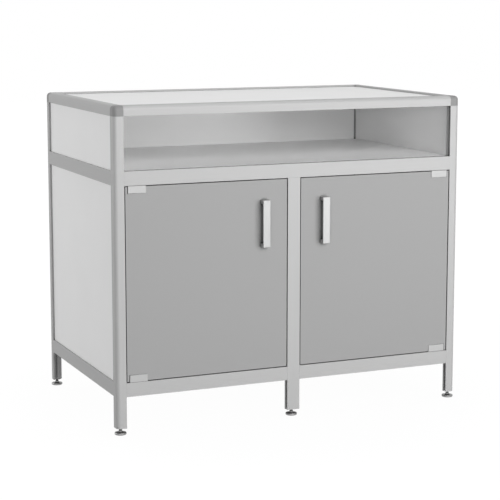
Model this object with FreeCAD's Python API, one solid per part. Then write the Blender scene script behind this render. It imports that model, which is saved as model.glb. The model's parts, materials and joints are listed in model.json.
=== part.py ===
import FreeCAD, Part
import math
import os
from FreeCAD import Vector

# Laboratory cupboard bench of slotted aluminium profile, in millimetres.
# It is drawn from its front left corner on the floor: X to the right, Y to the
# rear, Z up. write() then moves every piece to the frame whose origin is the
# bottom centre of the whole bench, handles included.

# Overall size
bench_width = 1000.0
bench_depth = 600.0
bench_height = 850.0

# Rounded corner profile of the posts and the top rails
profile = 27.0            # side of the square section
outer_radius = 11.0       # of the one rounded edge
lip = 4.8                 # wall between an outer face and the slot
slot = 6.4                # width of the slot's mouth
slot_mouth = 2.4          # depth of the mouth, before the slot widens
slot_depth = 6.0
slot_undercut = 1.8       # how far the slot widens each side
inner_flat = 17.0         # flat part of an inner face, before the inner chamfer
core = 11.0               # square hollow in the middle of the section
core_wall = 1.6
shell = 2.4               # outer wall, outside the L-shaped chamber

# Flat profile of the middle and bottom rails
rail_height = 37.0
rail_web = 2.0            # wall between the top slot and the board seat
rail_web_drop = 2.0       # the wall's top lies this far below the rail's
rail_core_height = 8.6
rail_core_width = 17.0
rail_core_floor = 8.0     # from the underside to the core
rail_face_wall = 2.4

# Centre stile
stile_width = 36.0

# Levels above the floor
leg_end = 17.0
bottom_rail_low = 100.0
mid_rail_low = 647.0

# Boards
board = 18.0              # laminated board
tongue = 5.8              # thickness of the tongue milled round a framed board
tongue_step = 0.2         # from the board's outer face to its tongue
tongue_reach = 5.5        # how far a tongue enters its slot
board_gap = 0.2           # between a board's edge and the frame
seat_gap = 0.3            # round a board that lies on the rails

# Plugs and pegs in the hollow profiles
peg_play = 0.1            # each side of a peg in its core
peg_length = 25.0
peg_chamfer = 1.0

# Doors
door_thickness = 8.0
door_recess = 1.0         # behind the frame's outer face
door_gap = 2.0
door_corner = 1.5         # corner radius, seen from the front

# Pivot hinges
clamp_width = 48.0
clamp_height = 18.5
clamp_inset = 9.5         # from the post to the clamp
clamp_front = 1.8         # thickness of the visible plate
clamp_back = 3.0
clamp_bridge = 4.0        # over the door's edge
clamp_block = 20.0        # width of the solid block that holds the pin
clamp_play = 0.2          # between the clamp and the door
clamp_slit = 1.2          # in the door at the block's outer end
rail_play = 0.8           # between the clamp and the rail
pin_radius = 2.0
pin_inset = 8.0           # from the clamp's outer end to the pin
pin_seat = 12.0           # length pressed into the clamp
pin_clearance = 0.05      # radial, in the pivot block
block_length = 16.0
block_play = 0.1
clamp_screw_radius = 2.0
clamp_screw_drop = 8.0    # from the door's edge to the screws' centres
clamp_screw_end = 10.0    # from the clamp's free end to the outer screw
clamp_screw_pitch = 16.0

# Bow handles
handle_length = 126.0
handle_width = 20.0
handle_stand = 20.0       # from the door's face to the strap's face
handle_strap = 4.0
handle_leg = 10.0
handle_edge = 67.0        # from the door's free edge to the handle's middle
handle_top = 52.0         # from the door's top edge down to the handle
handle_bend = 2.5
handle_soft = 0.8
handle_screw_radius = 2.0
handle_screw_reach = 10.0  # into the handle's leg
screw_head_radius = 4.0
screw_head_height = 2.4
hole_play = 0.25          # radial, round a screw in a door

# Magnetic catches
catch_length = 40.0
catch_depth = 14.0
catch_height = 12.0
catch_offset = 12.0       # from the stile to the catch
catch_play = 0.3          # to the strike plate when the door is shut
catch_screw_radius = 1.5
catch_screw_reach = 7.0   # into the rail
catch_screw_pitch = 28.0
catch_head_radius = 3.0
catch_head_sink = 2.0
strike_length = 38.0
strike_height = 12.0
strike_thickness = 1.2

# Levelling feet
foot_radius = 15.5
foot_rim = 6.0            # height of the rim
foot_soft = 2.0           # rounding of the rim
foot_crown_radius = 8.0   # the rim's top rises a little up to here
foot_crown = 7.2
foot_neck_radius = 5.0
foot_neck_low = 8.6       # where the neck goes straight up
foot_height = 11.0
stem_radius = 4.0
stem_clearance = 0.05
stem_floor = 3.0          # thickness of the base under the stem
stem_end_gap = 0.2
stem_engaged = 24.0       # length of stem inside the leg's plug

# Sizes that follow
X, Y, Z = Vector(1, 0, 0), Vector(0, 1, 0), Vector(0, 0, 1)
post_top = bench_height - profile
board_recess = lip + board_gap
inner_face = profile
mid_rail_top = mid_rail_low + rail_height
bottom_rail_top = bottom_rail_low + rail_height
seat_edge = lip + slot + rail_web
core_middle = profile / 2
slot_middle = lip + slot / 2
stile_left = (bench_width - stile_width) / 2
stile_right = (bench_width + stile_width) / 2
door_back = door_recess + door_thickness
handle_proud = handle_stand - door_recess
foot_overhang = foot_radius - core_middle
solids = {}
os.makedirs("parts", exist_ok=True)


def oriented(shape, origin, a_dir, b_dir):
    """Lays a shape drawn on X, Y, Z along a_dir, b_dir and their cross product."""
    c_dir = a_dir.cross(b_dir)
    matrix = FreeCAD.Matrix(
        a_dir.x, b_dir.x, c_dir.x, origin.x,
        a_dir.y, b_dir.y, c_dir.y, origin.y,
        a_dir.z, b_dir.z, c_dir.z, origin.z,
        0, 0, 0, 1)
    placed = shape.copy()
    placed.Placement = FreeCAD.Placement(matrix)
    return placed


def box(low, high):
    """A box between two corners."""
    size = high - low
    return Part.makeBox(size.x, size.y, size.z, low)


def cylinder(radius, start, end):
    """A cylinder from one point to another."""
    axis = end - start
    return Part.makeCylinder(radius, axis.Length, start, axis)


def polygon(points):
    """A closed wire through points given as pairs."""
    corners = [Vector(a, b, 0) for a, b in points]
    return Part.makePolygon(corners + corners[:1])


def rectangle(a_low, a_high, b_low, b_high):
    return polygon([(a_low, b_low), (a_high, b_low), (a_high, b_high), (a_low, b_high)])


def extruded(length, outline, *hollows):
    """A profile along Z, with hollows that run through it."""
    section = Part.makeFace([outline, *hollows], "Part::FaceMakerBullseye")
    return section.extrude(Vector(0, 0, length)).Solids[0]


def mirror_x(shape):
    """The same piece on the other side of the bench."""
    return shape.mirror(Vector(bench_width / 2, 0, 0), X)


def write(node, *pieces):
    """Moves a sub-part to the bench's own frame and saves it."""
    shift = Vector(-bench_width / 2, (handle_proud - bench_depth - foot_overhang) / 2, 0)
    moved = []
    for piece in pieces:
        for solid in piece.Solids:
            copy = solid.copy()
            copy.translate(shift)
            moved.append(copy)
    shape = moved[0] if len(moved) == 1 else Part.makeCompound(moved)
    shape.exportStep("parts/" + node + ".step")
    solids[node] = moved


# ---------------------------------------------------------------- profiles

def slot_points(face, middle):
    """One widening slot, as (depth, along) steps from a face, along increasing."""
    half_mouth = slot / 2
    half_wide = half_mouth + slot_undercut
    return [
        (face, middle - half_mouth),
        (face - slot_mouth, middle - half_mouth),
        (face - slot_mouth, middle - half_wide),
        (face - slot_depth, middle - half_wide),
        (face - slot_depth, middle + half_wide),
        (face - slot_mouth, middle + half_wide),
        (face - slot_mouth, middle + half_mouth),
        (face, middle + half_mouth),
    ]


def corner_profile(length):
    """Rounded profile with its outer corner on the Z axis, slots in both inner faces."""
    side = [(profile, 0)] + slot_points(profile, slot_middle) + [(profile, inner_flat)]
    points = side + [(b, a) for a, b in reversed(side)]
    corners = [Vector(a, b, 0) for a, b in points]
    straight = Part.makePolygon([Vector(outer_radius, 0, 0)] + corners + [Vector(0, outer_radius, 0)])
    turn = outer_radius * (1 - math.sqrt(0.5))
    rounding = Part.Arc(Vector(0, outer_radius, 0), Vector(turn, turn, 0), Vector(outer_radius, 0, 0))
    outline = Part.Wire(straight.Edges + [rounding.toShape()])
    low, high = core_middle - core / 2, core_middle + core / 2
    hollow = rectangle(low, high, low, high)
    return extruded(length, outline, hollow, corner_chamber())


def corner_chamber():
    """L-shaped chamber between the outer wall and the core."""
    inner = core_middle - core / 2 - core_wall
    end = core_middle + core / 2
    corners = [(outer_radius, shell), (end, shell), (end, inner), (inner, inner),
               (inner, end), (shell, end), (shell, outer_radius)]
    straight = Part.makePolygon([Vector(a, b, 0) for a, b in corners])
    turn = outer_radius - (outer_radius - shell) * math.sqrt(0.5)
    rounding = Part.Arc(Vector(shell, outer_radius, 0), Vector(turn, turn, 0),
                        Vector(outer_radius, shell, 0))
    return Part.Wire(straight.Edges + [rounding.toShape()])


def flat_rail_profile(length):
    """Flat rail: X is the depth from the outer face, Y is the height."""
    seat = rail_height - board
    web_top = rail_height - rail_web_drop
    outline = polygon([
        (0, 0),
        (lip, 0), (lip, slot_depth), (lip + slot, slot_depth), (lip + slot, 0),
        (profile, 0), (profile, seat), (seat_edge, seat), (seat_edge, web_top),
        (lip + slot, web_top), (lip + slot, rail_height - slot_depth),
        (lip, rail_height - slot_depth), (lip, rail_height),
        (0, rail_height),
    ])
    hollow = rectangle(lip, lip + rail_core_width,
                       rail_core_floor, rail_core_floor + rail_core_height)
    chamber = rectangle(rail_face_wall, lip + slot - rail_web / 2,
                        rail_core_floor + rail_core_height + rail_web,
                        rail_height - slot_depth - rail_web)
    return extruded(length, outline, hollow, chamber)


def stile_profile(length):
    """Flat fronted stile with a slot in each side, X centred on it, Y its depth."""
    half = stile_width / 2
    chamfer = profile - inner_flat
    right = [(half, 0)] + slot_points(half, slot_middle) + [(half, inner_flat), (half - chamfer, profile)]
    points = right + [(-a, b) for a, b in reversed(right)]
    hollow = rectangle(-core / 2, core / 2, core_middle - core / 2, core_middle + core / 2)
    return extruded(length, polygon(points), hollow)


# ---------------------------------------------------------------- frame

def make_posts():
    post = corner_profile(post_top - leg_end)
    write("post_front_left", oriented(post, Vector(0, 0, leg_end), X, Y))
    write("post_front_right", oriented(post, Vector(bench_width, 0, leg_end), Y, -X))
    write("post_rear_left", oriented(post, Vector(0, bench_depth, leg_end), -Y, X))
    write("post_rear_right", oriented(post, Vector(bench_width, bench_depth, leg_end), -X, -Y))
    stile = stile_profile(mid_rail_low - leg_end)
    write("centre_stile", oriented(stile, Vector(bench_width / 2, 0, leg_end), X, Y))


def make_top_rails():
    long_rail = corner_profile(bench_width - 2 * profile)
    short_rail = corner_profile(bench_depth - 2 * profile)
    top = bench_height
    write("top_rail_front", oriented(long_rail, Vector(profile, 0, top), -Z, Y))
    write("top_rail_rear", oriented(long_rail, Vector(profile, bench_depth, top), -Y, -Z))
    write("top_rail_left", oriented(short_rail, Vector(0, profile, top), X, -Z))
    write("top_rail_right", oriented(short_rail, Vector(bench_width, profile, top), -Z, -X))


def rail_between(x_low, x_high, level):
    """A front rail between two uprights."""
    return oriented(flat_rail_profile(x_high - x_low), Vector(x_low, 0, level), Y, Z)


def make_flat_rails():
    far_x, far_y = bench_width - profile, bench_depth - profile
    long_rail = flat_rail_profile(far_x - profile)
    short_rail = flat_rail_profile(far_y - profile)
    for name, level in (("mid", mid_rail_low), ("bottom", bottom_rail_low)):
        write(name + "_rail_rear", oriented(long_rail, Vector(far_x, bench_depth, level), -Y, Z))
        write(name + "_rail_left", oriented(short_rail, Vector(0, far_y, level), X, Z))
        write(name + "_rail_right", oriented(short_rail, Vector(bench_width, profile, level), -X, Z))
    front = rail_between(profile, far_x, mid_rail_low)
    for catch_x in (catch_middle(), bench_width - catch_middle()):
        for hole in catch_screws(catch_x, hole_play):
            front = front.cut(hole)
    write("mid_rail_front", front)
    write("bottom_rail_front_left", rail_between(profile, stile_left, bottom_rail_low))
    write("bottom_rail_front_right", rail_between(stile_right, far_x, bottom_rail_low))


def square_peg(length):
    """A peg for the square core, pointing along Z from the origin, its tip chamfered."""
    side = core - 2 * peg_play
    half = side / 2
    shank = Part.makeBox(side, side, length - peg_chamfer, Vector(-half, -half, 0))
    low_wire = oriented(rectangle(-half, half, -half, half), Vector(0, 0, length - peg_chamfer), X, Y)
    tip = half - peg_chamfer
    high_wire = oriented(rectangle(-tip, tip, -tip, tip), Vector(0, 0, length), X, Y)
    return shank.fuse(Part.makeLoft([low_wire, high_wire], True)).removeSplitter()


def corner_connector():
    """Three-way connector at the front left corner: a rounded cube and three pegs."""
    low = Vector(0, 0, post_top)
    cube = box(low, Vector(profile, profile, bench_height))
    rounded = []
    for edge in cube.Edges:
        middle = edge.CenterOfMass
        outer = [middle.x < 1e-6, middle.y < 1e-6, middle.z > bench_height - 1e-6]
        if sum(outer) == 2:
            rounded.append(edge)
    body = cube.makeFillet(outer_radius, rounded)
    middle = Vector(core_middle, core_middle, bench_height - core_middle)
    peg = square_peg(core_middle + peg_length)
    for a_dir, b_dir in ((Y, X), (Y, Z), (Z, X)):
        body = body.fuse(oriented(peg, middle, a_dir, b_dir))
    return body.removeSplitter()


def make_corner_connectors():
    front_left = corner_connector()
    rear_left = front_left.mirror(Vector(0, bench_depth / 2, 0), Y)
    write("corner_connector_front_left", front_left)
    write("corner_connector_front_right", mirror_x(front_left))
    write("corner_connector_rear_left", rear_left)
    write("corner_connector_rear_right", mirror_x(rear_left))


def slot_key(a_length, b_low, b_high):
    """The part of a connector that enters a slot; X is the depth from the outer face."""
    a_low = slot_middle - tongue / 2
    return box(Vector(a_low, b_low, -tongue_reach), Vector(a_low + a_length, b_high, 0))


def rail_connector():
    """Peg in a flat rail's end with a key for the slot of the upright it butts on."""
    low = rail_core_floor + peg_play
    high = rail_core_floor + rail_core_height - peg_play
    shank = box(Vector(lip + peg_play, low, 0),
                Vector(lip + rail_core_width - peg_play, high, peg_length))
    return shank.fuse(slot_key(tongue, low, high)).removeSplitter()


def make_rail_connectors():
    """One connector in each end of every flat rail, and one on top of the stile."""
    far_x, far_y = bench_width - profile, bench_depth - profile
    start = rail_connector()
    end = start.mirror(Vector(0, 0, 0), Z)
    ends = []
    for level in (mid_rail_low, bottom_rail_low):
        ends.append((start, Vector(far_x, bench_depth, level), -Y))
        ends.append((end, Vector(profile, bench_depth, level), -Y))
        ends.append((start, Vector(0, far_y, level), X))
        ends.append((end, Vector(0, profile, level), X))
        ends.append((start, Vector(bench_width, profile, level), -X))
        ends.append((end, Vector(bench_width, far_y, level), -X))
    ends.append((start, Vector(profile, 0, mid_rail_low), Y))
    ends.append((end, Vector(far_x, 0, mid_rail_low), Y))
    for low_x, high_x in ((profile, stile_left), (stile_right, far_x)):
        ends.append((start, Vector(low_x, 0, bottom_rail_low), Y))
        ends.append((end, Vector(high_x, 0, bottom_rail_low), Y))
    pieces = [oriented(shape, origin, inward, Z) for shape, origin, inward in ends]
    half = core / 2 - peg_play
    shank = box(Vector(-half, core_middle - half, -peg_length), Vector(half, core_middle + half, 0))
    key = box(Vector(-half, slot_middle - tongue / 2, 0),
              Vector(half, slot_middle + tongue / 2, tongue_reach))
    stile_peg = shank.fuse(key)
    stile_peg.translate(Vector(bench_width / 2, 0, mid_rail_low))
    write("rail_connectors", *pieces, stile_peg)


# ---------------------------------------------------------------- boards

def framed_board(origin, a_dir, b_dir, a_length, b_length):
    """Board in a framed opening; its outer face is at origin, its body goes along a x b."""
    body = box(Vector(board_gap, board_gap, 0),
               Vector(a_length - board_gap, b_length - board_gap, board))
    wide = box(Vector(-tongue_reach, board_gap, tongue_step),
               Vector(a_length + tongue_reach, b_length - board_gap, tongue_step + tongue))
    tall = box(Vector(board_gap, -tongue_reach, tongue_step),
               Vector(a_length - board_gap, b_length + tongue_reach, tongue_step + tongue))
    return oriented(body.fuse([wide, tall]).removeSplitter(), origin, a_dir, b_dir)


def make_framed_boards():
    width = bench_width - 2 * inner_face
    depth = bench_depth - 2 * inner_face
    near, rear = inner_face, bench_depth - inner_face
    for name, low, high in (("lower", bottom_rail_top, mid_rail_low),
                            ("upper", mid_rail_top, post_top)):
        tall = high - low
        left = framed_board(Vector(board_recess, near, low), Y, Z, depth, tall)
        write("side_board_" + name + "_left", left)
        right = framed_board(Vector(bench_width - board_recess, rear, low), -Y, Z, depth, tall)
        write("side_board_" + name + "_right", right)
        back = framed_board(Vector(near, bench_depth - board_recess, low), X, Z, width, tall)
        write("back_board_" + name, back)
    top = framed_board(Vector(near, near, bench_height - board_recess), Y, X, depth, width)
    write("worktop_board", top)


def seated_board(level):
    """Board that lies on the seats of the four rails at one level, round the posts."""
    edge = seat_edge + seat_gap
    plate = box(Vector(edge, edge, level - board),
                Vector(bench_width - edge, bench_depth - edge, level))
    notch = inner_face + seat_gap
    for x_low, x_high in ((0, notch), (bench_width - notch, bench_width)):
        for y_low, y_high in ((0, notch), (bench_depth - notch, bench_depth)):
            plate = plate.cut(box(Vector(x_low, y_low, level - 2 * board),
                                  Vector(x_high, y_high, level + board)))
    return plate


def make_seated_boards():
    write("niche_shelf_board", seated_board(mid_rail_top))
    floor = seated_board(bottom_rail_top)
    stile_notch = box(Vector(stile_left - seat_gap, 0, bottom_rail_top - 2 * board),
                      Vector(stile_right + seat_gap, profile + seat_gap, bottom_rail_top + board))
    write("cabinet_floor_board", floor.cut(stile_notch))


# ---------------------------------------------------------------- doors

door_left = inner_face + door_gap
door_right = stile_left - door_gap
door_low = bottom_rail_top + door_gap
door_high = mid_rail_low - door_gap
clamp_x = inner_face + clamp_inset
pin_x = clamp_x + pin_inset
handle_x = door_right - handle_edge


def flip_z(shape):
    """A piece of the top hinge, turned over for the bottom hinge."""
    return shape.mirror(Vector(0, 0, (bottom_rail_top + mid_rail_low) / 2), Z)


def hinge_clamp():
    """Clamp at the left door's top outer corner: a block with the pin, and two jaws."""
    high = mid_rail_low - rail_play
    low = high - clamp_height
    front = door_recess - clamp_front
    back = door_back + clamp_back
    body = box(Vector(clamp_x, front, low), Vector(clamp_x + clamp_width, back, high))
    jaw = box(Vector(clamp_x + clamp_block, door_recess, low),
              Vector(clamp_x + clamp_width, door_back, high - clamp_bridge))
    body = body.cut(jaw).cut(hinge_pin())
    for screw in clamp_screws():
        body = body.cut(screw)
    return body


def hinge_pin():
    """Pin pressed in the clamp's block, which turns in the rail's pivot block."""
    low = mid_rail_low - rail_play - pin_seat
    high = mid_rail_low + slot_depth - 2 * block_play
    return cylinder(pin_radius, Vector(pin_x, slot_middle, low), Vector(pin_x, slot_middle, high))


def clamp_screws():
    """Set screws in the clamp's back jaw, which press on the door."""
    level = door_high - clamp_screw_drop
    last = clamp_x + clamp_width - clamp_screw_end
    return [cylinder(clamp_screw_radius, Vector(x, door_back, level),
                     Vector(x, door_back + clamp_back, level))
            for x in (last - clamp_screw_pitch, last)]


def pivot_block():
    """Block in the slot of the middle rail, with the hole that the pin turns in."""
    body = box(Vector(pin_x - block_length / 2, lip + block_play, mid_rail_low + block_play),
               Vector(pin_x + block_length / 2, lip + slot - block_play,
                      mid_rail_low + slot_depth - block_play))
    return body.cut(cylinder(pin_radius + pin_clearance, Vector(pin_x, slot_middle, mid_rail_low),
                             Vector(pin_x, slot_middle, mid_rail_low + slot_depth)))


def handle_levels():
    """Heights of the two handle screws."""
    high = door_high - handle_top - handle_leg / 2
    return (high, high - handle_length + handle_leg)


def handle_screw_holes(play):
    """The handle screws' shanks, with play for the holes in the door."""
    tip = door_recess - handle_screw_reach
    return [cylinder(handle_screw_radius + play, Vector(handle_x, door_back, z),
                     Vector(handle_x, tip, z)) for z in handle_levels()]


def bow_handle():
    """Flat bow with two solid legs, drilled for its screws."""
    high = door_high - handle_top
    low = high - handle_length
    left, right = handle_x - handle_width / 2, handle_x + handle_width / 2
    face = door_recess - handle_stand
    body = box(Vector(left, face, low), Vector(right, door_recess, high))
    body = body.cut(box(Vector(left - 1, face + handle_strap, low + handle_leg),
                        Vector(right + 1, door_recess + 1, high - handle_leg)))
    outer = [e for e in body.Edges
             if abs(e.CenterOfMass.y - face) < 1e-6 and abs(e.Length - handle_width) < 1e-6]
    body = body.makeFillet(handle_bend, outer)
    rim = [e for e in body.Edges if abs(e.CenterOfMass.y - face) < 1e-6
           and e.Length > handle_length / 2]
    body = body.makeFillet(handle_soft, rim)
    for hole in handle_screw_holes(0):
        body = body.cut(hole)
    return body


def handle_screw_pieces():
    """Handle screws with their heads behind the door."""
    pieces = []
    for shank, level in zip(handle_screw_holes(0), handle_levels()):
        head = cylinder(screw_head_radius, Vector(handle_x, door_back, level),
                        Vector(handle_x, door_back + screw_head_height, level))
        pieces.append(shank.fuse(head).removeSplitter())
    return pieces


def door_panel():
    """Left door: a plain panel, notched for both clamps and drilled for the handle."""
    body = box(Vector(door_left, door_recess, door_low), Vector(door_right, door_back, door_high))
    upright = [e for e in body.Edges if abs(e.Length - door_thickness) < 1e-6]
    body = body.makeFillet(door_corner, upright)
    clamp_high = mid_rail_low - rail_play
    for width, height in ((clamp_block, clamp_height), (clamp_width, clamp_bridge)):
        notch = box(Vector(clamp_x - clamp_slit, 0, clamp_high - height - clamp_play),
                    Vector(clamp_x + width + clamp_play, 2 * door_back, clamp_high))
        body = body.cut(notch).cut(flip_z(notch))
    for hole in handle_screw_holes(hole_play):
        body = body.cut(hole)
    return body


def catch_middle():
    """Distance of the left catch's middle from the left side of the bench."""
    return stile_left - catch_offset - catch_length / 2


def catch_front():
    return door_back + strike_thickness + catch_play


def catch_screws(middle, play):
    """Shanks of one catch's screws, up into the middle rail."""
    y = catch_front() + catch_depth / 2
    low = mid_rail_low - catch_height
    return [cylinder(catch_screw_radius + play, Vector(middle + side, y, low),
                     Vector(middle + side, y, mid_rail_low + catch_screw_reach))
            for side in (-catch_screw_pitch / 2, catch_screw_pitch / 2)]


def catch_screw_pieces(middle):
    """Screws with their heads let into the catch's underside."""
    y = catch_front() + catch_depth / 2
    low = mid_rail_low - catch_height
    pieces = []
    for side, shank in zip((-catch_screw_pitch / 2, catch_screw_pitch / 2), catch_screws(middle, 0)):
        head = cylinder(catch_head_radius, Vector(middle + side, y, low),
                        Vector(middle + side, y, low + catch_head_sink))
        pieces.append(shank.fuse(head).removeSplitter())
    return pieces


def magnetic_catch(middle):
    """Catch body under the middle rail."""
    body = box(Vector(middle - catch_length / 2, catch_front(), mid_rail_low - catch_height),
               Vector(middle + catch_length / 2, catch_front() + catch_depth, mid_rail_low))
    for screw in catch_screw_pieces(middle):
        body = body.cut(screw)
    return body


def strike_plate(middle):
    """Steel plate on the door's back, opposite the catch."""
    high = door_high - 1
    return box(Vector(middle - strike_length / 2, door_back, high - strike_height),
               Vector(middle + strike_length / 2, door_back + strike_thickness, high))


def make_doors():
    clamp, pin, block = hinge_clamp(), hinge_pin(), pivot_block()
    sub_parts = {
        "door_panel": [door_panel()],
        "door_handle": [bow_handle()],
        "handle_screws": handle_screw_pieces(),
        "hinge_clamps": [clamp, flip_z(clamp)],
        "hinge_pins": [pin, flip_z(pin)],
        "clamp_screws": clamp_screws() + [flip_z(screw) for screw in clamp_screws()],
        "strike_plate": [strike_plate(catch_middle())],
    }
    for name, pieces in sub_parts.items():
        write("left_" + name, *pieces)
        write("right_" + name, *[mirror_x(piece) for piece in pieces])
    blocks = [block, flip_z(block)]
    write("pivot_blocks", *blocks, *[mirror_x(piece) for piece in blocks])
    middles = (catch_middle(), bench_width - catch_middle())
    write("magnetic_catches", *[magnetic_catch(middle) for middle in middles])
    screws = [screw for middle in middles for screw in catch_screw_pieces(middle)]
    write("catch_screws", *screws)


# ---------------------------------------------------------------- feet

def foot_base():
    """Round base: a disc with a soft rim, a low crown, a neck and a socket for the stem."""
    socket = stem_radius + stem_clearance
    inner = foot_radius - foot_soft
    half_turn = foot_soft * math.sqrt(0.5)
    low_mid = Vector(inner + half_turn, 0, foot_soft - half_turn)
    high_mid = Vector(inner + half_turn, 0, foot_rim - foot_soft + half_turn)
    rim_low, rim_high = Vector(foot_radius, 0, foot_soft), Vector(foot_radius, 0, foot_rim - foot_soft)
    edge_low, edge_high = Vector(inner, 0, 0), Vector(inner, 0, foot_rim)
    top = Part.makePolygon([
        edge_high, Vector(foot_crown_radius, 0, foot_crown),
        Vector(foot_neck_radius, 0, foot_neck_low), Vector(foot_neck_radius, 0, foot_height),
        Vector(socket, 0, foot_height), Vector(socket, 0, stem_floor),
        Vector(0, 0, stem_floor), Vector(0, 0, 0), edge_low,
    ])
    rim = [Part.Arc(edge_low, low_mid, rim_low).toShape(), Part.makeLine(rim_low, rim_high),
           Part.Arc(rim_high, high_mid, edge_high).toShape()]
    return Part.Face(Part.Wire(rim + top.Edges)).revolve(Vector(0, 0, 0), Z, 360)


def foot_stem():
    """Threaded stem from the base's socket up into the leg's plug."""
    return cylinder(stem_radius, Vector(0, 0, stem_floor + stem_end_gap),
                    Vector(0, 0, leg_end + stem_engaged))


def leg_plug():
    """Square plug in a leg's end, with the thread that the stem turns in."""
    side = core - 2 * peg_play
    body = Part.makeBox(side, side, peg_length, Vector(-side / 2, -side / 2, leg_end))
    return body.cut(cylinder(stem_radius + stem_clearance, Vector(0, 0, leg_end),
                             Vector(0, 0, leg_end + peg_length)))


def make_feet():
    base, stem, plug = foot_base(), foot_stem(), leg_plug()
    near, far_x, far_y = core_middle, bench_width - core_middle, bench_depth - core_middle
    places = {
        "front_left": (near, near),
        "front_centre": (bench_width / 2, near),
        "front_right": (far_x, near),
        "rear_left": (near, far_y),
        "rear_right": (far_x, far_y),
    }
    plugs = []
    for name, (x, y) in places.items():
        write("foot_base_" + name, oriented(base, Vector(x, y, 0), X, Y))
        write("foot_stem_" + name, oriented(stem, Vector(x, y, 0), X, Y))
        plugs.append(oriented(plug, Vector(x, y, 0), X, Y))
    write("leg_plugs", *plugs)


make_posts()
make_top_rails()
make_corner_connectors()
make_flat_rails()
make_rail_connectors()
make_framed_boards()
make_seated_boards()
make_doors()
make_feet()

for node, parts in sorted(solids.items()):
    volume = sum(part.Volume for part in parts)
    print(f"{node}: {len(parts)} solid(s), {volume / 1000:.1f} cm3")
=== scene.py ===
import json
import math

import bmesh
import bpy
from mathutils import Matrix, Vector

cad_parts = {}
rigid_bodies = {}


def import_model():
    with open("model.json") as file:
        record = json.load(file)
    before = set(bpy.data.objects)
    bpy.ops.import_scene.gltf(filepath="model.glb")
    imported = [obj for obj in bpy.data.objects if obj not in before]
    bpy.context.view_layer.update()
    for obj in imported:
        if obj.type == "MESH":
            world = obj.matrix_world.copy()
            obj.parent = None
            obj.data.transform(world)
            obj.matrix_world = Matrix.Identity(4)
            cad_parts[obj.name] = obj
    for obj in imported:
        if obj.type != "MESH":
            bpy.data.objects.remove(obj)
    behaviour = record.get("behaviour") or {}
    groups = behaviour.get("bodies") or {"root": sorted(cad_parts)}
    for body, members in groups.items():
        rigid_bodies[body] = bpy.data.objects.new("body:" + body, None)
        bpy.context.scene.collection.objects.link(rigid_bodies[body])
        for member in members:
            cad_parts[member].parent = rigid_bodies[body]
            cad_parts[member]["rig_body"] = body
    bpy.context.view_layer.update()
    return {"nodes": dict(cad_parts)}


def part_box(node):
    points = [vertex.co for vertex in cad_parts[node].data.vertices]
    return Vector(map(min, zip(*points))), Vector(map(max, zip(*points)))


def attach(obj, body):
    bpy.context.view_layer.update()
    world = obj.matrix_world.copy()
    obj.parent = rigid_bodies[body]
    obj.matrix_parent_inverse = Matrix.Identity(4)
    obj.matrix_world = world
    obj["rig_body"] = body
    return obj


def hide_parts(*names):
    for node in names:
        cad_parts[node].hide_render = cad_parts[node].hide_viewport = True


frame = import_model()
nodes = frame["nodes"]
mm = 0.001


# ---------------------------------------------------------------- posts, stile and rails
# Aluminium profiles, sawn to length, deburred and satin anodised. The die leaves
# faint lines along each one, and the etching bath a fine matt grain over them.
# Pegs and keys in their cores and slots join them, so no fastener shows.

def add(tree, kind, inputs=None, **options):
    """Adds a node to a tree. An input is a value, or the socket that feeds it."""
    made = tree.nodes.new(kind)
    for option, value in options.items():
        setattr(made, option, value)
    for socket, value in (inputs or {}).items():
        if isinstance(value, bpy.types.NodeSocket):
            tree.links.new(value, made.inputs[socket])
        else:
            made.inputs[socket].default_value = value
    return made


def grey(level):
    """A neutral colour, from its brightness on a screen of 0 to 255."""
    part = level / 255
    linear = ((part + 0.055) / 1.055) ** 2.4 if part > 0.04 else part / 12.92
    return (linear, linear, linear, 1.0)


def new_finish(name, colour, roughness, metallic=0.0, shine=0.5):
    """A finish with its plain values set on the shader's own sockets."""
    finish = bpy.data.materials.new(name)
    finish.use_nodes = True
    inputs = finish.node_tree.nodes["Principled BSDF"].inputs
    inputs["Base Color"].default_value = colour
    inputs["Roughness"].default_value = roughness
    inputs["Metallic"].default_value = metallic
    inputs["Specular IOR Level"].default_value = shine
    return finish


def feed(finish, socket, source):
    """Lets a socket of a node drive one value of the finish's shader."""
    tree = finish.node_tree
    tree.links.new(source, tree.nodes["Principled BSDF"].inputs[socket])


def grain(finish, per_metre, detail=2.0):
    """Noise on the piece's own coordinates, with a scale for each direction."""
    tree = finish.node_tree
    place = add(tree, "ShaderNodeTexCoord").outputs["Object"]
    scaled = add(tree, "ShaderNodeMapping", {"Vector": place, "Scale": per_metre})
    noise = add(tree, "ShaderNodeTexNoise",
                {"Vector": scaled.outputs["Vector"], "Scale": 1.0, "Detail": detail})
    return noise.outputs["Fac"]


def tint(finish, factor, dark, light):
    """Lets the grain move the colour between two near shades."""
    mix = add(finish.node_tree, "ShaderNodeMix", {"Factor": factor, "A": dark, "B": light},
              data_type="RGBA")
    feed(finish, "Base Color", mix.outputs["Result"])


def polish(finish, factor, smooth, rough):
    """Lets the grain move the roughness between two values."""
    spread = add(finish.node_tree, "ShaderNodeMapRange",
                 {"Value": factor, "To Min": smooth, "To Max": rough})
    feed(finish, "Roughness", spread.outputs["Result"])


def relief(finish, factor, depth):
    """Raises the surface by the grain, over any relief it has already."""
    tree = finish.node_tree
    bump = add(tree, "ShaderNodeBump", {"Height": factor, "Distance": depth, "Strength": 1.0})
    under = tree.nodes["Principled BSDF"].inputs["Normal"]
    if under.is_linked:
        tree.links.new(under.links[0].from_socket, bump.inputs["Normal"])
    feed(finish, "Normal", bump.outputs["Normal"])


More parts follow.
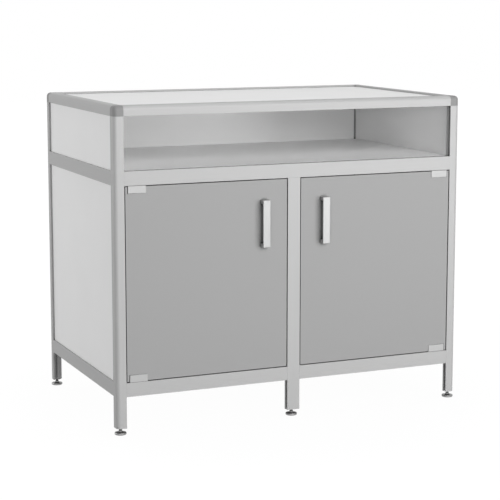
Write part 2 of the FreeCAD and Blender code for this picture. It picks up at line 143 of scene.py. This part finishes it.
def paint_occlusion_shade(finish, reach, none=0.75):
    """Paints shade into the colour in corners, by how little they see of the space within reach.

    The painted shade is full where the share they see is full or less, and ends where it is none.
    """
    full = 0.3
    dark = grey(38)
    tree = finish.node_tree
    coloured = tree.nodes["Principled BSDF"].inputs["Base Color"].links[0].from_socket
    # The ambient occlusion here is shade, painted into the base colour.
    open_share = add(tree, "ShaderNodeAmbientOcclusion", {"Distance": reach}, samples=8).outputs["AO"]
    spread = add(tree, "ShaderNodeMapRange",
                 {"Value": open_share, "From Min": full, "From Max": none}).outputs["Result"]
    mix = add(tree, "ShaderNodeMix", {"Factor": spread, "A": dark, "B": coloured},
              data_type="RGBA")
    feed(finish, "Base Color", mix.outputs["Result"])


def dress(piece, finish):
    """Gives a piece its one finish."""
    piece.data.materials.clear()
    piece.data.materials.append(finish)


def stand_in(piece, name):
    """Lets a finished piece stand for its CAD node, on the node's body."""
    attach(piece, nodes[name]["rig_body"])
    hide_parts(name)


def eased(name, radius, finish, edge_finish=None, across=None):
    """Stands a copy with broken edges in for a node. Its edge faces may get their own finish.

    An edge face is one whose normal has less than face_share of its length on the axis across.
    """
    source = nodes[name].data
    mesh = bpy.data.meshes.new(name + "_mesh")
    faces = [tuple(face.vertices) for face in source.polygons]
    mesh.from_pydata([vertex.co for vertex in source.vertices], [], faces)
    shape = bmesh.new()
    shape.from_mesh(mesh)
    bmesh.ops.remove_doubles(shape, verts=shape.verts, dist=weld_distance)
    bmesh.ops.dissolve_limit(shape, angle_limit=flat_angle, verts=shape.verts, edges=shape.edges)
    for face in shape.faces:
        face.smooth = True
        face.material_index = int(edge_finish is not None and abs(face.normal[across]) < face_share)
    shape.to_mesh(mesh)
    shape.free()
    piece = bpy.data.objects.new(name + "_eased", mesh)
    bpy.context.scene.collection.objects.link(piece)
    mesh.materials.append(finish)
    ease = piece.modifiers.new("eased_edges", "BEVEL")
    ease.width = radius
    ease.segments = 2
    ease.limit_method = "ANGLE"
    ease.angle_limit = edge_angle
    ease.use_clamp_overlap = False
    if edge_finish is not None:
        mesh.materials.append(edge_finish)
        ease.material = 1
    piece.modifiers.new("even_shading", "WEIGHTED_NORMAL")
    stand_in(piece, name)


def anodised(name, along):
    """The anodised finish, with its die lines along axis 0, 1 or 2."""
    finish = new_finish(name, grey(170), roughness=0.45, metallic=0.08, shine=0.3)
    lines_per_metre = [700.0, 700.0, 700.0]
    lines_per_metre[along] = 2.0
    die_lines = grain(finish, lines_per_metre)
    etching = grain(finish, (2600.0, 2600.0, 2600.0))
    tint(finish, die_lines, grey(167), grey(173))
    polish(finish, die_lines, smooth=0.40, rough=0.52)
    relief(finish, etching, 0.01 * mm)
    relief(finish, die_lines, 0.03 * mm)
    return finish


weld_distance = 0.01 * mm
flat_angle = math.radians(1)
edge_angle = math.radians(40)
face_share = 0.5
deburred = 0.3 * mm
slot_painted_shade_reach = 10 * mm
aluminium = [anodised("anodised_" + word, axis)
             for axis, word in enumerate(("width", "depth", "height"))]
# Shade is painted into the profiles' colour in their slots and inner corners, darker where they see
# less of the space within reach.
for finish in aluminium:
    paint_occlusion_shade(finish, slot_painted_shade_reach, none=0.5)
for name in sorted(nodes):
    if name.startswith("post_") or name == "centre_stile":
        eased(name, deburred, aluminium[2])
    elif "_rail_" in name:
        across = name.endswith(("_left", "_right")) and "front" not in name
        eased(name, deburred, aluminium[1 if across else 0])


# ---------------------------------------------------------------- corner connectors
# Three-way corner pieces of glass-filled nylon, moulded in grey. The mould is
# spark eroded, so they have a fine even grain, and their pegs press into the
# cores of a post and two rails.

moulded_edge = 0.4 * mm
connector_nylon = new_finish("moulded_grey_nylon", grey(126), roughness=0.55)
spark_grain = grain(connector_nylon, (1800.0, 1800.0, 1800.0), 3.0)
tint(connector_nylon, spark_grain, grey(122), grey(130))
relief(connector_nylon, spark_grain, 0.04 * mm)
for name in sorted(nodes):
    if name.startswith("corner_connector"):
        eased(name, moulded_edge, connector_nylon)


# ---------------------------------------------------------------- rail connectors
# Zinc die-cast pegs in the ends of the flat rails, with a key that enters the
# slot of the post or stile. They are plated, and tumbled before plating.

zinc = new_finish("zinc_plate", grey(190), roughness=0.38, metallic=0.9)
spangle = grain(zinc, (1200.0, 1200.0, 1200.0))
tint(zinc, spangle, grey(180), grey(198))
polish(zinc, spangle, smooth=0.32, rough=0.44)
dress(nodes["rail_connectors"], zinc)


# ---------------------------------------------------------------- boards
# Laminated boards, pale grey and nearly matt, with a pearl texture pressed into
# the laminate. The framed ones have a milled tongue in the slots round them; the
# shelf and the cabinet floor lie on the rails and have an edge band, whose dark
# grey is painted shade along the niche's front edge. The back boards' darker grey
# is painted shade, and the shelf's lighter grey painted light, in the niche.

def pale_laminate(name, level):
    """The boards' finish: an even grey with a faint cloud in it, and the pearl texture."""
    finish = new_finish(name, grey(level), roughness=0.45, shine=0.3)
    pearl = grain(finish, (900.0, 900.0, 900.0), 3.0)
    cloud = grain(finish, (9.0, 9.0, 9.0), 2.0)
    tint(finish, cloud, grey(level - 2), grey(level + 2))
    polish(finish, pearl, smooth=0.40, rough=0.52)
    relief(finish, pearl, 0.03 * mm)
    return finish


laminate = pale_laminate("pale_laminate", 244)
# The back boards' darker grey is painted shade and the shelf's lighter grey painted light; the real
# boards are all one laminate.
back_laminate_painted_shade = pale_laminate("back_laminate_painted_shade", 236)
shelf_laminate_painted_light = pale_laminate("shelf_laminate_painted_light", 250)
# The edge band is real, but its dark grey is painted shade, for the dark line along the niche's front
# edge.
edge_band_painted_shade = new_finish("edge_band_painted_shade", grey(70), roughness=0.5)
band_grain = grain(edge_band_painted_shade, (1400.0, 1400.0, 1400.0))
tint(edge_band_painted_shade, band_grain, grey(62), grey(78))
relief(edge_band_painted_shade, band_grain, 0.02 * mm)
seated_edge = 0.4 * mm
for name in sorted(nodes):
    if name == "niche_shelf_board":
        eased(name, seated_edge, shelf_laminate_painted_light, edge_band_painted_shade, across=2)
    elif name == "cabinet_floor_board":
        eased(name, seated_edge, laminate, edge_band_painted_shade, across=2)
    elif "board" in name:
        dress(nodes[name], back_laminate_painted_shade if name.startswith("back_") else laminate)


# ---------------------------------------------------------------- doors
# Panels of compact laminate: grey faces with a fine matt texture on a black core
# of pressed resin and paper, which shows at the milled edges.

door_laminate = new_finish("door_laminate", grey(152), roughness=0.5, shine=0.2)
door_pearl = grain(door_laminate, (1100.0, 1100.0, 1100.0), 3.0)
tint(door_laminate, door_pearl, grey(149), grey(155))
# Shade is painted into the door's colour where things stand close to it, above all as a painted shadow
# beside and under the handle.
door_painted_shade_reach = 30 * mm
paint_occlusion_shade(door_laminate, door_painted_shade_reach)
polish(door_laminate, door_pearl, smooth=0.44, rough=0.58)
relief(door_laminate, door_pearl, 0.03 * mm)
core = new_finish("black_core", grey(34), roughness=0.6, shine=0.2)
milling = grain(core, (300.0, 2400.0, 300.0))
tint(core, milling, grey(26), grey(42))
relief(core, milling, 0.02 * mm)
door_edge = 0.5 * mm
for side in ("left", "right"):
    eased(side + "_door_panel", door_edge, door_laminate, core, across=1)


# ---------------------------------------------------------------- pivot hinges
# Milled steel clamps, satin finished, which grip each door's outer corners with
# hexagon socket set screws in the rear jaw. A pressed-in pin turns in a nylon
# block, which lies in the slot of the rail.

def maths(tree, operation, *values):
    """One step of arithmetic on numbers or sockets."""
    return add(tree, "ShaderNodeMath", dict(enumerate(values)), operation=operation).outputs[0]


def new_tree(name, **sizes):
    """A tree with a named input for each size, its points and its finish."""
    tree = bpy.data.node_groups.new(name, "GeometryNodeTree")
    tree.interface.new_socket("Points", in_out="INPUT", socket_type="NodeSocketGeometry")
    for size, kind in sizes.items():
        tree.interface.new_socket(size.replace("_", " "), in_out="INPUT",
                                  socket_type="NodeSocket" + kind)
    tree.interface.new_socket("Finish", in_out="INPUT", socket_type="NodeSocketMaterial")
    tree.interface.new_socket("Geometry", in_out="OUTPUT", socket_type="NodeSocketGeometry")
    return tree, add(tree, "NodeGroupInput").outputs


def close_tree(tree, given, shape, rotation=None, scale=1.0):
    """Puts a shape on each point, makes it real and gives it its finish."""
    placing = {"Points": given["Points"], "Instance": shape, "Scale": (scale, scale, scale)}
    if rotation is not None:
        placing["Rotation"] = rotation
    copies = add(tree, "GeometryNodeInstanceOnPoints", placing).outputs["Instances"]
    real = add(tree, "GeometryNodeRealizeInstances", {"Geometry": copies}).outputs["Geometry"]
    coated = add(tree, "GeometryNodeSetMaterial", {"Geometry": real, "Material": given["Finish"]})
    add(tree, "NodeGroupOutput", {"Geometry": coated.outputs["Geometry"]})


def grow(name, tree, places, sizes):
    """Runs a tree on loose points, and stands what it makes in for a node as one plain mesh."""
    sharp_angle = math.radians(35)
    points = bpy.data.meshes.new(name + "_points")
    points.from_pydata(places, [], [])
    piece = bpy.data.objects.new(name + "_made", points)
    bpy.context.scene.collection.objects.link(piece)
    modifier = piece.modifiers.new(tree.name, "NODES")
    modifier.node_group = tree
    for item in tree.interface.items_tree:
        if item.in_out == "INPUT" and item.name in sizes:
            modifier[item.identifier] = sizes[item.name]
    grown = piece.evaluated_get(bpy.context.evaluated_depsgraph_get())
    made = bpy.data.meshes.new_from_object(grown)
    piece.modifiers.remove(modifier)
    piece.data = made
    made.shade_smooth()
    made.set_sharp_from_angle(angle=sharp_angle)
    stand_in(piece, name)


def cross_recess(tree, given):
    """Two crossed blades, sunk to the recess depth."""
    blade_share = 0.28
    wide = given["Recess Width"]
    deep = maths(tree, "MULTIPLY", given["Recess Depth"], 2.0)
    narrow = maths(tree, "MULTIPLY", wide, blade_share)
    blades = add(tree, "GeometryNodeMeshBoolean", operation="UNION", solver="EXACT")
    for across, along in ((wide, narrow), (narrow, wide)):
        size = add(tree, "ShaderNodeCombineXYZ", {"X": across, "Y": along, "Z": deep})
        blade = add(tree, "GeometryNodeMeshCube", {"Size": size.outputs["Vector"]}).outputs["Mesh"]
        tree.links.new(blade, blades.inputs["Mesh 2"])
    return blades.outputs["Mesh"]


def hexagon_recess(tree, given):
    """A hexagon socket, sunk to the recess depth."""
    deep = maths(tree, "MULTIPLY", given["Recess Depth"], 2.0)
    corner = maths(tree, "DIVIDE", given["Recess Width"], 2.0 * math.cos(math.radians(30)))
    return add(tree, "GeometryNodeMeshCylinder",
               {"Vertices": 6, "Radius": corner, "Depth": deep}).outputs["Mesh"]


def screw_tree(name, recess):
    """Screws with a domed head on the points, their axis along a vector, each turned by chance.

    They are cut in millimetres, where points nearer than the seam are joined, and
    then made small, because a cut between such small shapes in metres leaves holes.
    """
    seam = 0.002
    tree, given = new_tree(name, Axis="Vector", Head_Radius="Float", Head_Height="Float",
                           Dome="Float", Shank_Radius="Float", Shank_Length="Float",
                           Recess_Width="Float", Recess_Depth="Float", Seed="Int")
    given = dict(given.items())
    for size in ("Head Radius", "Head Height", "Dome", "Shank Radius", "Shank Length",
                 "Recess Width", "Recess Depth"):
        given[size] = maths(tree, "DIVIDE", given[size], mm)
    head = add(tree, "GeometryNodeMeshCylinder",
               {"Vertices": 32, "Side Segments": 1, "Fill Segments": 4,
                "Radius": given["Head Radius"], "Depth": given["Head Height"]},
               fill_type="TRIANGLE_FAN").outputs["Mesh"]
    place = add(tree, "GeometryNodeInputPosition").outputs["Position"]
    parts = add(tree, "ShaderNodeSeparateXYZ", {"Vector": place}).outputs
    flat = add(tree, "ShaderNodeCombineXYZ", {"X": parts["X"], "Y": parts["Y"]}).outputs["Vector"]
    out = add(tree, "ShaderNodeVectorMath", {0: flat}, operation="LENGTH").outputs["Value"]
    share = maths(tree, "DIVIDE", out, given["Head Radius"])
    drop = maths(tree, "MULTIPLY", maths(tree, "MULTIPLY", share, share), given["Dome"])
    on_top = maths(tree, "GREATER_THAN", parts["Z"], 0.0)
    fall = maths(tree, "MULTIPLY", maths(tree, "MULTIPLY", drop, on_top), -1.0)
    middle = maths(tree, "MULTIPLY", given["Head Height"], 0.5)
    lift = add(tree, "ShaderNodeCombineXYZ", {"Z": maths(tree, "ADD", fall, middle)})
    domed = add(tree, "GeometryNodeSetPosition",
                {"Geometry": head, "Offset": lift.outputs["Vector"]}).outputs["Geometry"]
    top = add(tree, "ShaderNodeCombineXYZ", {"Z": given["Head Height"]}).outputs["Vector"]
    cutter = add(tree, "GeometryNodeSetPosition", {"Geometry": recess(tree, given), "Offset": top})
    rooted = maths(tree, "ADD", given["Shank Length"], middle)
    shank = add(tree, "GeometryNodeMeshCylinder",
                {"Vertices": 24, "Radius": given["Shank Radius"], "Depth": rooted})
    drawn = maths(tree, "MULTIPLY", maths(tree, "SUBTRACT", middle, given["Shank Length"]), 0.5)
    lower = add(tree, "ShaderNodeCombineXYZ", {"Z": drawn}).outputs["Vector"]
    sunk = add(tree, "GeometryNodeSetPosition", {"Geometry": shank.outputs["Mesh"], "Offset": lower})
    whole = add(tree, "GeometryNodeMeshBoolean", {"Mesh 2": domed}, operation="UNION", solver="EXACT")
    tree.links.new(sunk.outputs["Geometry"], whole.inputs["Mesh 2"])
    cut = add(tree, "GeometryNodeMeshBoolean",
              {"Mesh 1": whole.outputs["Mesh"], "Mesh 2": cutter.outputs["Geometry"]},
              operation="DIFFERENCE", solver="EXACT").outputs["Mesh"]
    screw = add(tree, "GeometryNodeMergeByDistance",
                {"Geometry": cut, "Distance": seam}).outputs["Geometry"]
    along = add(tree, "FunctionNodeAlignRotationToVector", {"Vector": given["Axis"]}, axis="Z")
    chance = add(tree, "FunctionNodeRandomValue", {"Max": math.tau, "Seed": given["Seed"]},
                 data_type="FLOAT")
    spin = add(tree, "FunctionNodeAxisAngleToRotation", {"Angle": chance.outputs["Value"]})
    turned = add(tree, "FunctionNodeRotateRotation",
                 {"Rotation": along.outputs["Rotation"], "Rotate By": spin.outputs["Rotation"]},
                 rotation_space="LOCAL")
    close_tree(tree, given, screw, turned.outputs["Rotation"], mm)
    return tree


satin = new_finish("satin_steel", grey(165), roughness=0.52, metallic=0.30)
brushing = grain(satin, (60.0, 1500.0, 1500.0))
tint(satin, brushing, grey(160), grey(170))
polish(satin, brushing, smooth=0.45, rough=0.60)
relief(satin, brushing, 0.01 * mm)
black_nylon = new_finish("black_nylon", grey(50), roughness=0.5)
nylon_grain = grain(black_nylon, (1500.0, 1500.0, 1500.0))
tint(black_nylon, nylon_grain, grey(44), grey(56))
relief(black_nylon, nylon_grain, 0.02 * mm)

clamp_edge = 0.3 * mm
pin_edge = 0.25 * mm
set_screw_radius = 2.0 * mm
set_screw_point = 0.8 * mm
socket_screws = screw_tree("socket_set_screw", hexagon_recess)
eased("pivot_blocks", clamp_edge, black_nylon)
for seed, side in enumerate(("left", "right")):
    eased(side + "_hinge_clamps", clamp_edge, satin)
    eased(side + "_hinge_pins", pin_edge, zinc)
    low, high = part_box(side + "_clamp_screws")
    jaw_places = [(x, low.y + set_screw_point, z)
                  for x in (low.x + set_screw_radius, high.x - set_screw_radius)
                  for z in (low.z + set_screw_radius, high.z - set_screw_radius)]
    grow(side + "_clamp_screws", socket_screws, jaw_places, {
        "Axis": (0.0, 1.0, 0.0), "Head Radius": set_screw_radius,
        "Head Height": high.y - low.y - set_screw_point, "Dome": 0.2 * mm,
        "Shank Radius": 1.5 * mm, "Shank Length": set_screw_point,
        "Recess Width": 2.0 * mm, "Recess Depth": 1.8 * mm, "Seed": seed, "Finish": zinc})


# ---------------------------------------------------------------- bow handles
# Flat bows of aluminium, bent, brushed along their length and clear anodised.
# Two pan head screws from behind the door hold each one.

handle_metal = new_finish("bright_aluminium", grey(165), roughness=0.42, metallic=0.35)
long_brushing = grain(handle_metal, (1500.0, 1500.0, 60.0))
tint(handle_metal, long_brushing, grey(160), grey(170))
# Shade is painted into the handle's colour where its legs and bow stand close to the door.
handle_painted_shade_reach = 20 * mm
paint_occlusion_shade(handle_metal, handle_painted_shade_reach)
polish(handle_metal, long_brushing, smooth=0.34, rough=0.46)
relief(handle_metal, long_brushing, 0.01 * mm)
handle_edge = 0.3 * mm
pan_radius = 4.0 * mm
pan_height = 2.4 * mm
handle_screws = screw_tree("pan_head_screw", cross_recess)
for seed, side in enumerate(("left", "right")):
    eased(side + "_door_handle", handle_edge, handle_metal)
    low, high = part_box(side + "_handle_screws")
    seat = high.y - pan_height
    door_places = [((low.x + high.x) / 2, seat, z)
                   for z in (low.z + pan_radius, high.z - pan_radius)]
    grow(side + "_handle_screws", handle_screws, door_places, {
        "Axis": (0.0, 1.0, 0.0), "Head Radius": pan_radius, "Head Height": pan_height,
        "Dome": 0.9 * mm, "Shank Radius": 2.0 * mm, "Shank Length": seat - low.y,
        "Recess Width": 4.0 * mm, "Recess Depth": 1.6 * mm, "Seed": seed, "Finish": zinc})


# ---------------------------------------------------------------- magnetic catches
# Pale plastic housings screwed up into the middle rail. Two steel pole plates
# beside the magnet stand a little proud of each one and meet the steel strike
# plate behind the door.

catch_plastic = new_finish("catch_plastic", grey(180), roughness=0.45)
catch_grain = grain(catch_plastic, (1500.0, 1500.0, 1500.0))
tint(catch_plastic, catch_grain, grey(177), grey(183))
relief(catch_plastic, catch_grain, 0.02 * mm)
catch_edge = 0.5 * mm
strike_edge = 0.2 * mm
eased("magnetic_catches", catch_edge, catch_plastic)
for side in ("left", "right"):
    eased(side + "_strike_plate", strike_edge, zinc)

catch_length = 40.0 * mm
pole_inset = 3.0 * mm
pole_thickness = 1.2 * mm
pole_proud = 0.2 * mm
pole_depth = 8.0 * mm
pole_edge = 0.15 * mm
low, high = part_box("magnetic_catches")
poles = bmesh.new()
for start in (low.x, high.x - catch_length):
    for share in (1 / 3, 2 / 3):
        level = low.z + (high.z - low.z) * share
        least = (start + pole_inset, low.y - pole_proud, level - pole_thickness / 2)
        most = (start + catch_length - pole_inset, low.y + pole_depth, level + pole_thickness / 2)
        for corner in bmesh.ops.create_cube(poles, size=1.0)["verts"]:
            corner.co = Vector([b if c > 0 else a for a, b, c in zip(least, most, corner.co)])
bmesh.ops.bevel(poles, geom=poles.edges[:], offset=pole_edge, segments=2, affect="EDGES")
pole_mesh = bpy.data.meshes.new("catch_pole_plates")
poles.to_mesh(pole_mesh)
poles.free()
pole_plates = bpy.data.objects.new("catch_pole_plates", pole_mesh)
bpy.context.scene.collection.objects.link(pole_plates)
dress(pole_plates, zinc)
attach(pole_plates, "frame")

catch_head_radius = 3.0 * mm
catch_head_height = 2.0 * mm
catch_screw_pitch = 28.0 * mm
low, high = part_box("catch_screws")
catch_places = [(x, (low.y + high.y) / 2, low.z + catch_head_height)
                for first in (low.x + catch_head_radius, high.x - catch_head_radius - catch_screw_pitch)
                for x in (first, first + catch_screw_pitch)]
grow("catch_screws", handle_screws, catch_places, {
    "Axis": (0.0, 0.0, -1.0), "Head Radius": catch_head_radius, "Head Height": catch_head_height,
    "Dome": 0.6 * mm, "Shank Radius": 1.5 * mm, "Shank Length": high.z - low.z - catch_head_height,
    "Recess Width": 3.2 * mm, "Recess Depth": 1.3 * mm, "Seed": 3, "Finish": zinc})


# ---------------------------------------------------------------- levelling feet
# Turned steel bases, bright nickel plated, on M8 threaded stems of zinc plated
# steel. The stems turn in nylon plugs, which are pressed into the leg ends.

nickel = new_finish("bright_nickel", grey(140), roughness=0.30, metallic=0.9)
turning = grain(nickel, (1300.0, 1300.0, 1300.0))
tint(nickel, turning, grey(134), grey(146))
# Shade is painted into the bases' colour close round the stem and under the leg.
foot_painted_shade_reach = 3 * mm
paint_occlusion_shade(nickel, foot_painted_shade_reach)
polish(nickel, turning, smooth=0.24, rough=0.36)
oiled_zinc = new_finish("oiled_zinc", grey(110), roughness=0.45, metallic=0.8)
oil_film = grain(oiled_zinc, (500.0, 500.0, 500.0))
tint(oiled_zinc, oil_film, grey(100), grey(120))
polish(oiled_zinc, oil_film, smooth=0.38, rough=0.52)

thread_rows = 8
rods, given = new_tree("threaded_stem", Radius="Float", Thread_Depth="Float", Pitch="Float",
                       Low="Float", High="Float", Chamfer="Float")
length = maths(rods, "SUBTRACT", given["High"], given["Low"])
turns = maths(rods, "DIVIDE", length, given["Pitch"])
rod = add(rods, "GeometryNodeMeshCylinder",
          {"Vertices": 24, "Side Segments": maths(rods, "MULTIPLY", turns, thread_rows),
           "Radius": given["Radius"], "Depth": length}, fill_type="NGON").outputs["Mesh"]
place = add(rods, "GeometryNodeInputPosition").outputs["Position"]
parts = add(rods, "ShaderNodeSeparateXYZ", {"Vector": place}).outputs
angle = maths(rods, "ARCTAN2", parts["Y"], parts["X"])
climb = maths(rods, "DIVIDE", parts["Z"], given["Pitch"])
phase = maths(rods, "SUBTRACT", climb, maths(rods, "DIVIDE", angle, math.tau))
flank = maths(rods, "MULTIPLY", maths(rods, "PINGPONG", phase, 0.5), 2.0)
groove = maths(rods, "MULTIPLY", flank, given["Thread Depth"])
threaded = maths(rods, "SUBTRACT", given["Radius"], groove)
half = maths(rods, "MULTIPLY", length, 0.5)
from_end = maths(rods, "SUBTRACT", half, maths(rods, "ABSOLUTE", parts["Z"]))
tapered = maths(rods, "ADD", maths(rods, "SUBTRACT", given["Radius"], given["Chamfer"]), from_end)
share = maths(rods, "DIVIDE", maths(rods, "MINIMUM", threaded, tapered), given["Radius"])
middle = maths(rods, "MULTIPLY", maths(rods, "ADD", given["Low"], given["High"]), 0.5)
moved = add(rods, "ShaderNodeCombineXYZ", {
    "X": maths(rods, "MULTIPLY", parts["X"], share),
    "Y": maths(rods, "MULTIPLY", parts["Y"], share),
    "Z": maths(rods, "ADD", parts["Z"], middle)}).outputs["Vector"]
threaded_rod = add(rods, "GeometryNodeSetPosition", {"Geometry": rod, "Position": moved})
close_tree(rods, given, threaded_rod.outputs["Geometry"])

thread_pitch = 1.25 * mm
thread_depth = 0.77 * mm
base_edge = 0.2 * mm
plug_edge = 0.4 * mm
eased("leg_plugs", plug_edge, black_nylon)
for name in sorted(nodes):
    if name.startswith("foot_base"):
        eased(name, base_edge, nickel)
    elif name.startswith("foot_stem"):
        low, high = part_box(name)
        middle_place = ((low.x + high.x) / 2, (low.y + high.y) / 2, 0.0)
        grow(name, rods, [middle_place], {
            "Radius": (high.x - low.x) / 2, "Thread Depth": thread_depth, "Pitch": thread_pitch,
            "Low": low.z, "High": high.z, "Chamfer": thread_depth, "Finish": oiled_zinc})


# ---------------------------------------------------------------- floor, light, camera
# A pale floor and a pale room, which the camera and the bright metal see as
# white, with seven soft lamps. The floor lies just under the feet at their
# lowest, so that they show in every pose.

def either(tree, *sockets):
    """One where any of these rays is meant, else zero."""
    found = sockets[0]
    for socket in sockets[1:]:
        found = maths(tree, "MAXIMUM", found, socket)
    return found


floor_reach = 12.0
floor_depth = 12.3 * mm
floor_white = 1.04
floor_mesh = bpy.data.meshes.new("floor")
floor_corners = [(x * floor_reach, y * floor_reach, 0) for x, y in ((-1, -1), (1, -1), (1, 1), (-1, 1))]
floor_mesh.from_pydata(floor_corners, [], [(0, 1, 2, 3)])
floor = bpy.data.objects.new("floor", floor_mesh)
floor.location.z = -floor_depth
bpy.context.scene.collection.objects.link(floor)
floor_finish = new_finish("pale_floor", grey(150), roughness=0.9, shine=0.1)
tree = floor_finish.node_tree
place = add(tree, "ShaderNodeTexCoord").outputs["Object"]
distance = add(tree, "ShaderNodeVectorMath", {0: place}, operation="LENGTH").outputs["Value"]
fade = add(tree, "ShaderNodeMapRange",
           {"Value": distance, "From Min": 0.4, "From Max": 1.5, "To Min": 0.94, "To Max": 1.0},
           interpolation_type="SMOOTHSTEP").outputs["Result"]
rays = add(tree, "ShaderNodeLightPath").outputs
direct = either(tree, rays["Is Camera Ray"], rays["Is Glossy Ray"], rays["Is Transmission Ray"])
white = add(tree, "ShaderNodeEmission", {"Strength": floor_white}).outputs["Emission"]
matt = tree.nodes["Principled BSDF"].outputs["BSDF"]
shown = add(tree, "ShaderNodeMixShader",
            {"Fac": maths(tree, "MULTIPLY", direct, fade), 1: matt, 2: white})
tree.links.new(shown.outputs["Shader"], tree.nodes["Material Output"].inputs["Surface"])
dress(floor, floor_finish)

world = bpy.data.worlds.new("pale_room")
world.use_nodes = True
bpy.context.scene.world = world
tree = world.node_tree
room = tree.nodes["Background"]
room.inputs["Color"].default_value = (1.0, 1.0, 1.0, 1.0)
room.inputs["Strength"].default_value = 0.2
rays = add(tree, "ShaderNodeLightPath").outputs
direct = either(tree, rays["Is Camera Ray"], rays["Is Glossy Ray"], rays["Is Transmission Ray"])
white = add(tree, "ShaderNodeBackground", {"Color": (1.0, 1.0, 1.0, 1.0), "Strength": 1.0})
shown = add(tree, "ShaderNodeMixShader",
            {"Fac": direct, 1: room.outputs["Background"], 2: white.outputs["Background"]})
tree.links.new(shown.outputs["Shader"], tree.nodes["World Output"].inputs["Surface"])


def soft_lamp(name, place, aim, size, watts):
    """A square area lamp that points at a place."""
    lamp = bpy.data.lights.new(name, "AREA")
    lamp.shape = "SQUARE"
    lamp.size = size
    lamp.energy = watts
    holder = bpy.data.objects.new(name, lamp)
    bpy.context.scene.collection.objects.link(holder)
    holder.location = place
    holder.rotation_euler = (Vector(aim) - Vector(place)).to_track_quat("-Z", "Y").to_euler()


bench_middle = (0.0, 0.0, 0.5)
soft_lamp("key_high_lamp", (1.8, -4.0, 1.9), bench_middle, size=1.8, watts=34.0)
soft_lamp("key_low_lamp", (2.4, -3.6, 0.4), bench_middle, size=1.2, watts=52.0)
soft_lamp("front_high_lamp", (0.2, -4.3, 2.3), bench_middle, size=2.0, watts=83.0)
soft_lamp("front_low_lamp", (0.3, -4.6, 0.75), bench_middle, size=2.6, watts=28.0)
soft_lamp("side_lamp", (-2.2, -4.0, 0.7), bench_middle, size=2.0, watts=38.0)
soft_lamp("rear_lamp", (-3.6, 2.2, 1.2), bench_middle, size=2.0, watts=62.0)
soft_lamp("top_lamp", (0.0, 0.3, 3.6), bench_middle, size=3.0, watts=33.0)

camera_data = bpy.data.cameras.new("camera")
camera_data.sensor_width = 36.0
camera_data.lens = 112.8
camera_data.shift_y = -0.05
camera_data.clip_end = 60.0
camera = bpy.data.objects.new("camera", camera_data)
camera.location = (-1.7445, -4.0158, 1.1274)
camera.rotation_euler = (math.radians(90 - 8.40), 0.0, math.radians(-23.47))
bpy.context.scene.collection.objects.link(camera)
bpy.context.scene.camera = camera
bpy.context.scene.view_settings.view_transform = "Standard"
